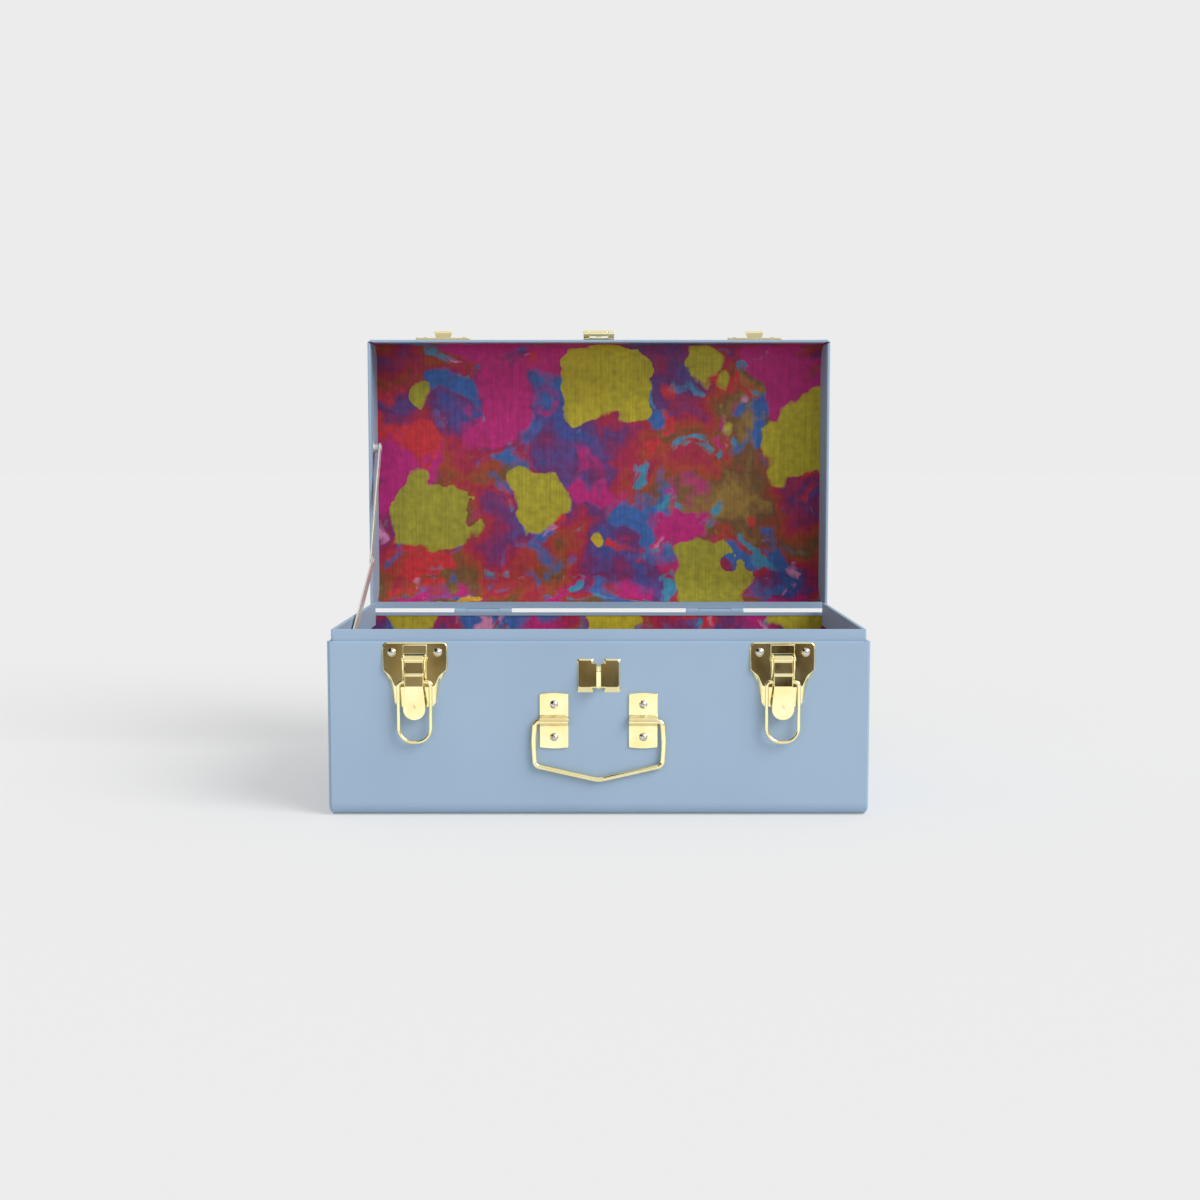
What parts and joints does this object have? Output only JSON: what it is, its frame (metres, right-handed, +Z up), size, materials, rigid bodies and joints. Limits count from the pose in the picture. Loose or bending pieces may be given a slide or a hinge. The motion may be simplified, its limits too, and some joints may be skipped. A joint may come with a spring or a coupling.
{
  "type": "storage trunk",
  "caption": "Painted steel storage trunk with a hinged lid, printed lining, toggle latches, padlock hasp, folding lid stay and a wire carrying handle",
  "frame": {"origin": "middle of the underside, on the surface that the trunk stands on", "axes": "+X along the width to the right seen from the front, +Y to the hinged rear, +Z up; stored with the lid open a right angle"},
  "size_m": [0.45, 0.3467, 0.4211],
  "materials": {
    "painted_steel": "satin baked enamel, dusty pale blue",
    "polished_brass": "polished pale brass plate",
    "nickel_rivet": "bright nickel, domed",
    "lining_print": "printed cloth-backed paper, many colours",
    "stay_steel": "nickel-plated flat steel"
  },
  "bodies": {
    "trunk_body": {"body_wrap": "painted_steel", "body_end_left": "painted_steel", "body_end_right": "painted_steel", "lip_strip": "painted_steel", "body_lining": "lining_print", "hinge_body_leaf_left": "painted_steel", "hinge_body_leaf_right": "painted_steel", "hinge_pin_left": "painted_steel", "hinge_pin_right": "painted_steel", "latch_plate_left": "polished_brass", "latch_plate_right": "polished_brass", "latch_pin_left": "polished_brass", "latch_pin_right": "polished_brass", "latch_rivets": "nickel_rivet", "handle_bracket_left": "polished_brass", "handle_bracket_right": "polished_brass", "handle_rivets": "nickel_rivet", "staple": "polished_brass", "stay_body_bracket": "stay_steel"},
    "lid": {"lid_wrap": "painted_steel", "lid_end_left": "painted_steel", "lid_end_right": "painted_steel", "lid_lining": "lining_print", "hinge_lid_leaf_left": "painted_steel", "hinge_lid_leaf_right": "painted_steel", "keeper_left": "polished_brass", "keeper_right": "polished_brass", "keeper_rivets": "nickel_rivet", "hasp_leaf": "polished_brass", "hasp_pin": "polished_brass", "hasp_rivets": "nickel_rivet", "stay_lid_bracket": "stay_steel"},
    "hasp": {"hasp_flap": "polished_brass"},
    "lever_left": {"latch_lever_left": "polished_brass"},
    "lever_right": {"latch_lever_right": "polished_brass"},
    "bail_loop_left": {"bail_left": "polished_brass"},
    "bail_loop_right": {"bail_right": "polished_brass"},
    "carry_handle": {"handle": "polished_brass"},
    "stay_lower": {"stay_lower_link": "stay_steel"},
    "stay_upper": {"stay_upper_link": "stay_steel", "stay_rivets": "stay_steel"}
  },
  "joints": [
    {"name": "lid_hinge", "type": "hinge", "parent": "trunk_body", "child": "lid", "pos_m": [0, 0.1344, 0.1464], "axis": [-1, 0, 0], "range_deg": [-90, 0]},
    {"name": "stay_lower_pivot", "type": "hinge", "parent": "trunk_body", "child": "stay_lower", "pos_m": [-0.2156, -0.045, 0.1404], "axis": [1, 0, 0], "range_deg": [-26.5, 0]},
    {"name": "stay_elbow", "type": "hinge", "parent": "stay_lower", "child": "stay_upper", "pos_m": [-0.2165, 0.0872, 0.1984], "axis": [1, 0, 0], "range_deg": [0, 135.6]},
    {"name": "hasp_hinge", "type": "hinge", "parent": "lid", "child": "hasp", "pos_m": [0, 0.1395, 0.4183], "axis": [-1, 0, 0], "range_deg": [-180, 0]},
    {"name": "handle_swing", "type": "hinge", "parent": "trunk_body", "child": "carry_handle", "pos_m": [0, -0.1336, 0.0802], "axis": [-1, 0, 0], "range_deg": [0, 110]},
    {"name": "lever_left_pivot", "type": "hinge", "parent": "trunk_body", "child": "lever_left", "pos_m": [-0.152, -0.1372, 0.1322], "axis": [-1, 0, 0], "range_deg": [0, 120]},
    {"name": "bail_left_swing", "type": "hinge", "parent": "lever_left", "child": "bail_loop_left", "pos_m": [-0.152, -0.1367, 0.113], "axis": [1, 0, 0], "range_deg": [-180, 0]},
    {"name": "lever_right_pivot", "type": "hinge", "parent": "trunk_body", "child": "lever_right", "pos_m": [0.152, -0.1372, 0.1322], "axis": [-1, 0, 0], "range_deg": [0, 120]},
    {"name": "bail_right_swing", "type": "hinge", "parent": "lever_right", "child": "bail_loop_right", "pos_m": [0.152, -0.1367, 0.113], "axis": [1, 0, 0], "range_deg": [-180, 0]}
  ],
  "couplings": [
    {"joint": "stay_lower_pivot", "follows": "lid_hinge", "ratio": 0.29333},
    {"joint": "stay_elbow", "follows": "lid_hinge", "ratio": -1.5056}
  ]
}
